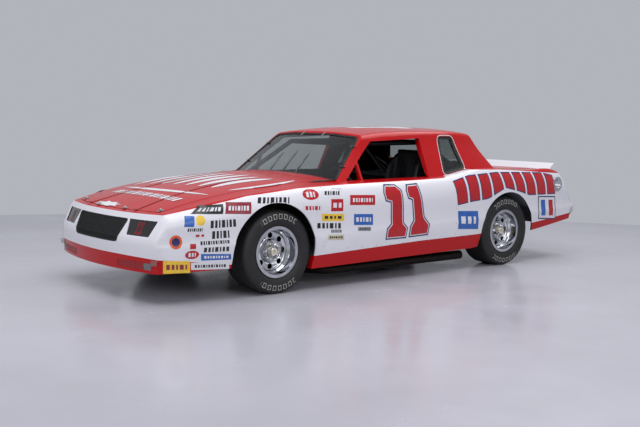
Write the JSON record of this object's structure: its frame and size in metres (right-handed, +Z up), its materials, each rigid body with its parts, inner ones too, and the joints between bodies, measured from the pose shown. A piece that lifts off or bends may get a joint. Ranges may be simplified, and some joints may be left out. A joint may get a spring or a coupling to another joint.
{
  "type": "stock car",
  "caption": "Two-door notchback oval-racing car with a full body over a tube and rail frame, opening hood and decklid, steered front wheels and free-turning wheels.",
  "frame": {"origin": "on the floor under the middle of the overall length, on the centre plane", "axes": "+X to the nose, +Y to the car's left, +Z up"},
  "size_m": [5.1039, 1.8962, 1.3339],
  "materials": {
    "red_paint": "gloss",
    "white_paint": "gloss",
    "frame_paint": "satin",
    "black_paint": "matte",
    "bare_sheet": "satin",
    "cast_block": "matte",
    "steel": "satin",
    "rim_chrome": "polished",
    "tyre_rubber": "matte",
    "clear_glass": "clear",
    "black_mesh": "matte",
    "seat_cover": "matte",
    "grip_rubber": "matte"
  },
  "bodies": {
    "chassis": {"nose_piece": "white_paint", "front_fender_left": "white_paint", "front_fender_right": "white_paint", "door_left": "white_paint", "door_right": "white_paint", "rocker_panels": "red_paint", "quarter_panel_left": "white_paint", "quarter_panel_right": "white_paint", "deck_filler_panel": "red_paint", "tail_panel": "white_paint", "cowl_panel": "red_paint", "roof_and_pillars": "red_paint", "headlamp_covers": "black_mesh", "grille_and_duct_screens": "black_mesh", "windshield": "clear_glass", "backlight": "clear_glass", "quarter_windows": "clear_glass", "hood_hinge_brackets": "steel", "decklid_hinge_brackets": "steel", "floor_pan": "bare_sheet", "firewall": "bare_sheet", "rear_bulkhead_and_shelf": "bare_sheet", "boot_floor": "bare_sheet", "rear_wheel_tubs": "bare_sheet", "fuel_cell": "black_paint", "frame_rails": "frame_paint", "roll_cage": "frame_paint", "front_control_arms": "black_paint", "springs_and_shocks": "steel", "rear_axle": "black_paint", "rear_trailing_arms": "frame_paint", "gearbox": "cast_block", "driveshaft": "steel", "engine_block": "cast_block", "radiator": "bare_sheet", "exhaust_pipes": "steel", "driver_seat": "seat_cover", "dashboard": "black_paint", "steering_column": "black_paint", "windshield_braces": "steel", "fuel_filler": "bare_sheet"},
    "hood": {"hood": "red_paint", "hood_hinge_arms": "steel"},
    "decklid": {"decklid": "red_paint", "decklid_hinge_arms": "steel", "spoiler": "white_paint"},
    "knuckle_left": {"knuckle_left": "cast_block"},
    "knuckle_right": {"knuckle_right": "cast_block"},
    "steering_wheel": {"steering_wheel": "grip_rubber"},
    "wheel_front_left": {"rim_front_left": "rim_chrome", "tyre_front_left": "tyre_rubber"},
    "wheel_front_right": {"rim_front_right": "rim_chrome", "tyre_front_right": "tyre_rubber"},
    "wheel_rear_left": {"rim_rear_left": "rim_chrome", "tyre_rear_left": "tyre_rubber"},
    "wheel_rear_right": {"rim_rear_right": "rim_chrome", "tyre_rear_right": "tyre_rubber"}
  },
  "joints": [
    {"name": "hood_hinge", "type": "hinge", "parent": "chassis", "child": "hood", "pos_m": [0.83, 0, 0.89], "axis": [0, -1, 0], "range_deg": [0, 50]},
    {"name": "decklid_hinge", "type": "hinge", "parent": "chassis", "child": "decklid", "pos_m": [-1.416, 0, 0.934], "axis": [0, 1, 0], "range_deg": [0, 60]},
    {"name": "steer_left", "type": "hinge", "parent": "chassis", "child": "knuckle_left", "pos_m": [1.397, 0.665, 0.338], "axis": [0, 0, 1], "range_deg": [-25, 25]},
    {"name": "steer_right", "type": "hinge", "parent": "chassis", "child": "knuckle_right", "pos_m": [1.397, -0.665, 0.338], "axis": [0, 0, 1], "range_deg": [-25, 25]},
    {"name": "steering_wheel_turn", "type": "hinge", "parent": "chassis", "child": "steering_wheel", "pos_m": [0.297, 0.385, 0.8], "axis": [0.9038, 0, -0.4279], "range_deg": [-300, 300]},
    {"name": "spin_front_left", "type": "hinge", "parent": "knuckle_left", "child": "wheel_front_left", "pos_m": [1.397, 0.762, 0.338], "axis": [0, 1, 0], "continuous": true},
    {"name": "spin_front_right", "type": "hinge", "parent": "knuckle_right", "child": "wheel_front_right", "pos_m": [1.397, -0.762, 0.338], "axis": [0, 1, 0], "continuous": true},
    {"name": "spin_rear_left", "type": "hinge", "parent": "chassis", "child": "wheel_rear_left", "pos_m": [-1.397, 0.762, 0.338], "axis": [0, 1, 0], "continuous": true},
    {"name": "spin_rear_right", "type": "hinge", "parent": "chassis", "child": "wheel_rear_right", "pos_m": [-1.397, -0.762, 0.338], "axis": [0, 1, 0], "continuous": true}
  ],
  "couplings": [
    {"joint": "steer_right", "follows": "steer_left", "ratio": 1},
    {"joint": "steering_wheel_turn", "follows": "steer_left", "ratio": -12}
  ]
}
